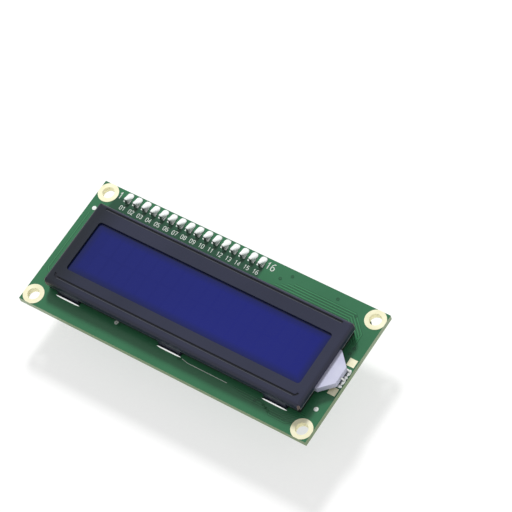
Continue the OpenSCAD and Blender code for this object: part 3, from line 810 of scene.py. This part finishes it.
film_finish = grained_finish(
    "blue_film", (0.004, 0.009, 0.165), (0.007, 0.013, 0.195), (0.1, 0.16),
    bump=0.02, cloud=18, shine=0.22, over=film_tones)
dress(film_finish, "front_polariser", "rear_polariser")
glass_finish, tree, shader = new_finish("glass_edge")
use = place_group(tree, grain_group, Dark=(0.62, 0.72, 0.70, 1),
                  Light=(0.74, 0.82, 0.80, 1), Rough_Low=0.02,
                  Rough_High=0.08)
tree.links.new(use.outputs["Colour"], shader.inputs["Base Color"])
tree.links.new(use.outputs["Roughness"], shader.inputs["Roughness"])
shader.inputs["Transmission Weight"].default_value = 0.9
shader.inputs["Metallic"].default_value = 0.0
dress(glass_finish, "front_glass", "rear_glass")


def fine_stripes(tree, colour):
    """The conductive layers across the contact rubber."""
    place = tree.nodes.new("ShaderNodeTexCoord")
    wave = add_node(tree, "ShaderNodeTexWave", Scale=900.0)
    tree.links.new(place.outputs["Object"], wave.inputs["Vector"])
    return mix_colour(tree, wave.outputs["Fac"], colour,
                      (0.05, 0.04, 0.04))


dress(grained_finish("contact_rubber", (0.62, 0.30, 0.30),
                     (0.72, 0.40, 0.38), (0.6, 0.8), over=fine_stripes),
      "zebra_strips")

# ---------------------------------------------------------------- backlight
# A milky acrylic guide with a lilac cast; its tongue leaves the bezel at
# one end, and two tinned wires go from it down through the board.
guide_finish = grained_finish("milky_guide", (0.56, 0.56, 0.74),
                              (0.64, 0.65, 0.80), (0.3, 0.45), cloud=220,
                              bump=0.15, shine=0.4)
dress(guide_finish, "light_guide", "diffuser_film")
wire_finish = grained_finish("tinned_wire", (0.62, 0.63, 0.62),
                             (0.82, 0.83, 0.82), (0.15, 0.3), metal=0.9,
                             cloud=600)
dress(wire_finish, "chip_leads", "transistor_leads", "trimmer_pins")


def tube(shape, path, radius):
    """A round wire through a list of points."""
    points = [Vector(p) for p in path]
    around = 12
    rings = []
    for k, point in enumerate(points):
        way = (points[min(k + 1, len(points) - 1)]
               - points[max(k - 1, 0)]).normalized()
        across = way.cross(Vector((0, 1, 0))).normalized()
        up = across.cross(way)
        rings.append([point + radius * (across * math.cos(a)
                                        + up * math.sin(a))
                      for a in (2 * math.pi * i / around
                                for i in range(around))])
    loft(shape, rings)


wire_low, wire_high = mm_box("backlight_leads")
wire_r = 0.24
wire_ys = (wire_low.y + wire_r, wire_high.y - wire_r)
shape = bmesh.new()
for y in wire_ys:
    tip = wire_high.x - wire_r
    top = wire_high.z - wire_r
    path = [(tip - 0.8, y, top), (tip - 0.35, y, top),
            (tip - 0.12, y, top - 0.1), (tip, y, top - 0.35),
            (tip, y, 0.75), (tip - 0.12, y, 0.45), (tip - 0.4, y, 0.32),
            (wire_low.x + 0.5, y, 0.3), (wire_low.x + 0.24, y, 0.1),
            (wire_low.x + 0.22, y, -0.3), (wire_low.x + 0.22, y,
                                           wire_low.z)]
    tube(shape, path, wire_r)
wires = as_piece("backlight_wires", shape, wire_finish,
                 smooth=True)
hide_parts("backlight_leads")


def blob(shape, x, y, level, wide, long, tall):
    """A rounded heap of solder on a pad."""
    rings = []
    for k in range(7):
        t = k / 7 * math.pi / 2
        rings.append([
            (x + wide * math.cos(t) * math.cos(a),
             y + long * math.cos(t) * math.sin(a),
             level + tall * math.sin(t))
            for a in (2 * math.pi * i / 18 for i in range(18))])
    loft(shape, rings)


shape = bmesh.new()
for y in wire_ys:
    blob(shape, wire_high.x - 0.5, y, 0, 0.5, 0.95, 0.5)
    blob(shape, wire_high.x - 0.7, y - 1.3, 0, 0.7, 0.45, 0.4)
as_piece("lead_fillets", shape, solder_finish, smooth=True)

# ---------------------------------------------------------------- domes
# Drops of black epoxy over the bonded driver dies, poured and cured, so
# their gloss is smooth and their colour even.
dress(grained_finish("dome_epoxy", (0.008, 0.008, 0.011),
                     (0.016, 0.016, 0.022), (0.08, 0.16), bump=0.05,
                     cloud=90, grain=300, coat=0.4, shine=0.5),
      "driver_blob_1", "driver_blob_2")

# ---------------------------------------------------------------- chips
# Fired resistors with a dark printed top and their value in figures, and
# small moulded packages in matt epoxy.
chip_finish = grained_finish("chip_epoxy", (0.010, 0.010, 0.011),
                             (0.022, 0.022, 0.024), (0.45, 0.65),
                             bump=0.4, cloud=500, grain=5000, shine=0.35)
dress(chip_finish, "chip_body", "transistor_body", "board_resistors",
      "adapter_resistors")
shape = bmesh.new()
adapter_low, adapter_high = mm_box("adapter_board")
chip_tall = 0.5
for i in range(6):
    print_number(shape, "103", -31, mid_y + (i - 2.5) * 2.2, 0.75,
                 board_back - chip_tall - 0.005, 0.09, -1)
print_number(shape, "101", 19.7, row_y - 2.4, 1.0,
             board_back - chip_tall - 0.005, 0.12, -1)
mid_row = row_y - 10
low_row = row_y - 13.6
span = adapter_high.x - adapter_low.x
for share, y, text in ((0.267, low_row, "472"), (0.207, low_row, "472"),
                       (0.149, low_row, "103"), (0.819, mid_row, "103"),
                       (0.757, mid_row, "472"), (0.696, mid_row, "102"),
                       (0.771, row_y - 4.2, "102")):
    print_number(shape, text, adapter_low.x + share * span, y, 0.75,
                 adapter_low.z - chip_tall - 0.005, 0.09, -1, math.pi / 2)
chip_low, chip_high = mm_box("chip_body")
for y, text in ((1.5, "3402"), (-0.6, "8574"), (-2.7, "16")):
    print_number(shape, text, (chip_low.x + chip_high.x) / 2 - 0.2,
                 (chip_low.y + chip_high.y) / 2 + y, 1.1, chip_low.z,
                 0.12, -1, math.pi / 2)
mark_ink = grained_finish("chip_marks", (0.30, 0.30, 0.30),
                          (0.42, 0.42, 0.42), (0.5, 0.7), cloud=900)
as_piece("chip_marks", shape, mark_ink)
dress(grained_finish("capacitor_body", (0.30, 0.19, 0.11),
                     (0.38, 0.25, 0.15), (0.5, 0.7)), "adapter_capacitor")
dress(grained_finish("lamp_resin", (0.74, 0.72, 0.55),
                     (0.86, 0.84, 0.66), (0.15, 0.3)), "power_led")

# ---------------------------------------------------------------- adapter
# A second board under a glossy black mask, soldered behind the first on
# the same pins. White outlines frame every part on its outer face.
dress(grained_finish("black_mask", (0.008, 0.010, 0.010),
                     (0.016, 0.018, 0.018), (0.2, 0.35), cloud=90,
                     shine=0.45, over=sawn_edges((0.30, 0.29, 0.24))),
      "adapter_board")
shape = bmesh.new()
face = adapter_low.z
ink_span = (face - 0.035, face)
left, right = adapter_low.x, adapter_high.x
lower, upper = adapter_low.y, adapter_high.y
trim_low, trim_high = mm_box("trimmer_body")
jump_low, jump_high = mm_box("jumper_base")
port_low, port_high = mm_box("port_base")
sot_low, sot_high = mm_box("transistor_body")
pads_low, pads_high = mm_box("address_lands")
for path in (box_path(left + 0.35, right - 0.35, lower + 0.35,
                      upper - 0.35),
             [(left + 0.35, row_y - 1.5), (right - 0.35, row_y - 1.5)],
             box_path(trim_low.x - 0.3, trim_high.x + 0.3,
                      trim_low.y - 0.3, trim_high.y + 0.3),
             box_path(jump_low.x - 0.3, jump_high.x + 0.3,
                      jump_low.y - 0.3, jump_high.y + 0.3),
             box_path(port_low.x - 0.3, port_high.x + 0.3,
                      port_low.y - 0.3, port_high.y + 0.3),
             box_path(chip_low.x - 0.2, chip_high.x + 0.2,
                      chip_low.y - 0.4, chip_high.y + 0.4),
             box_path(sot_low.x - 0.3, sot_high.x + 0.3,
                      sot_low.y - 1.2, sot_high.y + 1.2)):
    lay_line(shape, path, 0.18, *ink_span)
for share, y in ((0.267, low_row), (0.207, low_row), (0.149, low_row),
                 (0.819, mid_row), (0.757, mid_row), (0.696, mid_row),
                 (0.771, row_y - 4.2), (0.708, row_y - 4.2),
                 (0.882, mid_row + 0.6)):
    x = left + share * span
    lay_line(shape, box_path(x - 0.95, x + 0.95, y - 1.75, y + 1.75),
             0.16, *ink_span)
pad_y = (pads_low.y + pads_high.y) / 2
for k in range(3):
    x = pads_high.x - 1.7 - k * 4.5
    lay_line(shape, box_path(x - 2.05, x + 2.05, pad_y - 1.15,
                             pad_y + 1.15), 0.16, *ink_span)
    print_number(shape, str(k), x, pad_y + 2, 1.0, face, 0.14, -1)
for text, x, y in (("4", left + 4.2, upper - 8.4), ("3", left + 4.2, 8.6),
                   ("2", left + 4.2, 6), ("1", left + 4.2, 3.5),
                   ("0616", left + 14.5, lower + 2.3),
                   ("5", right - 4.6, row_y - 2.4)):
    print_number(shape, text, x, y, 1.15, face, 0.16, -1)
as_piece("adapter_printing", shape, white_ink)

shape = bmesh.new()
mask_copper = (face - 0.02, face)
for k in range(8):
    x = left + 16 + 1.27 * k
    lay_line(shape, [(x, row_y - 1.9), (x, row_y - 2.6 - 0.1 * k),
                     (x + 0.6, row_y - 3.2 - 0.1 * k)], 0.22, *mask_copper)
for k in range(5):
    y = lower + 1.2 + 0.45 * k
    lay_line(shape, [(left + 1.4 + k, y), (left + 10 + k, y),
                     (left + 11 + k, y + 1), (right - 9 - k, y + 1)],
             0.2, *mask_copper)
for k in range(9):
    lay_line(shape, round_path(left + 3.4 + 4.3 * k,
                               lower + 5.6 + (k % 3) * 0.7, 0.28, 14),
             0.24, face - 0.04, face)
as_piece("adapter_copper", shape, grained_finish(
    "black_copper", (0.018, 0.022, 0.022), (0.030, 0.034, 0.034),
    (0.2, 0.35), shine=0.45))

# ---------------------------------------------------------------- headers
# Square brass pins, plated bright, pressed into black moulded strips. The
# cap that bridges the jumper's pins is black too, with a brass spring.
pin_finish = grained_finish("plated_pins", (0.70, 0.64, 0.46),
                            (0.86, 0.82, 0.66), (0.18, 0.32), metal=1.0,
                            cloud=400)
dress(pin_finish, "row_pins", "jumper_pins", "port_pins")
strip_finish = grained_finish("moulded_strip", (0.009, 0.009, 0.010),
                              (0.018, 0.018, 0.019), (0.35, 0.5),
                              bump=0.3, cloud=300, grain=3000, shine=0.4)
dress(strip_finish, "row_strip", "jumper_base", "port_base", "jumper_cap")
dress(grained_finish("spring_brass", (0.72, 0.52, 0.20),
                     (0.86, 0.66, 0.30), (0.2, 0.35), metal=1.0),
      "jumper_clip")

# ---------------------------------------------------------------- trimmer
# A blue moulded body with a pale slotted rotor that sets the contrast. A
# screwdriver turns it.
dress(grained_finish("trimmer_blue", (0.012, 0.085, 0.46),
                     (0.018, 0.115, 0.58), (0.28, 0.42), bump=0.2,
                     cloud=220, shine=0.45), "trimmer_body")
dress(grained_finish("rotor_plastic", (0.55, 0.58, 0.55),
                     (0.72, 0.74, 0.70), (0.35, 0.5), cloud=700),
      "trimmer_rotor")

# ---------------------------------------------------------------- floor
# A white sheet that takes the module's shadow. It lets light through from
# beneath, and can't be seen from there.
floor_z = cad_box[0][2]
bpy.ops.mesh.primitive_plane_add(size=6, location=(0, 0, floor_z))
floor = bpy.context.object
floor.name = "floor"
finish, tree, shader = new_finish("pale_floor")
shader.inputs["Roughness"].default_value = 0.9
shader.inputs["Specular IOR Level"].default_value = 0.0
path = tree.nodes.new("ShaderNodeLightPath")
tree.links.new(mix_colour(tree, path.outputs["Is Camera Ray"],
                          (0.93, 0.93, 0.93), (0.45, 0.45, 0.45)),
               shader.inputs["Base Color"])
sight = add_node(tree, "ShaderNodeMath", operation="MULTIPLY")
sight.inputs[1].default_value = 0.62
tree.links.new(path.outputs["Is Camera Ray"], sight.inputs[0])
shader.inputs["Emission Color"].default_value = (1, 1, 1, 1)
tree.links.new(sight.outputs[0], shader.inputs["Emission Strength"])
under = tree.nodes.new("ShaderNodeNewGeometry")
either = add_node(tree, "ShaderNodeMath", operation="MAXIMUM")
tree.links.new(path.outputs["Is Shadow Ray"], either.inputs[0])
tree.links.new(under.outputs["Backfacing"], either.inputs[1])
clear = tree.nodes.new("ShaderNodeBsdfTransparent")
blend = tree.nodes.new("ShaderNodeMixShader")
tree.links.new(either.outputs[0], blend.inputs[0])
tree.links.new(shader.outputs[0], blend.inputs[1])
tree.links.new(clear.outputs[0], blend.inputs[2])
tree.links.new(blend.outputs[0],
               tree.nodes["Material Output"].inputs["Surface"])
floor.data.materials.append(finish)

# ---------------------------------------------------------------- lights
# An even white room, one large soft lamp beyond the pin row, and a weaker
# one beneath that only serves views of the back.
world = bpy.data.worlds.new("studio")
bpy.context.scene.world = world
world.use_nodes = True
tree = world.node_tree
sky = tree.nodes["Background"]
sky.inputs["Color"].default_value = (1, 1, 1, 1)
path = tree.nodes.new("ShaderNodeLightPath")
direct = add_node(tree, "ShaderNodeMath", operation="MAXIMUM")
clear_ray = add_node(tree, "ShaderNodeMath", operation="MAXIMUM")
tree.links.new(path.outputs["Is Camera Ray"], direct.inputs[0])
tree.links.new(path.outputs["Is Glossy Ray"], direct.inputs[1])
tree.links.new(direct.outputs[0], clear_ray.inputs[0])
tree.links.new(path.outputs["Is Transmission Ray"], clear_ray.inputs[1])
tree.links.new(ramp(tree, clear_ray.outputs[0], 0, 1, 0.45, 1.0),
               sky.inputs["Strength"])


def lamp(name, place, size, power, mirrored):
    """A square soft lamp aimed at the module."""
    light = bpy.data.lights.new(name, "AREA")
    light.size = size
    light.energy = power
    holder = bpy.data.objects.new(name, light)
    holder.location = place
    holder.rotation_euler = (-Vector(place)).to_track_quat("-Z",
                                                           "Y").to_euler()
    holder.visible_glossy = mirrored
    bpy.context.scene.collection.objects.link(holder)


lamp("key", (-0.36, 0.56, 0.62), 0.16, 7.2, False)
lamp("under", (0.15, -0.25, -0.70), 0.6, 3.0, False)

# ---------------------------------------------------------------- camera
# A long lens well above the near right corner.
camera = bpy.data.objects.new("camera", bpy.data.cameras.new("camera"))
camera.data.sensor_width = 36.0
camera.data.lens = 177.42
camera.data.clip_start = 0.01
camera_place = Vector((243.99, -186.92, 486.87)) * MM
camera_aim = Vector((3.8904, 17.0482, 0.0)) * MM
camera_roll = math.radians(-19.2834)
aim = (camera_aim - camera_place).to_track_quat("-Z", "Y")
camera.matrix_world = (Matrix.Translation(camera_place)
                       @ aim.to_matrix().to_4x4()
                       @ Matrix.Rotation(camera_roll, 4, "Z"))
bpy.context.scene.collection.objects.link(camera)
bpy.context.scene.camera = camera

bpy.context.scene.view_settings.view_transform = "Standard"
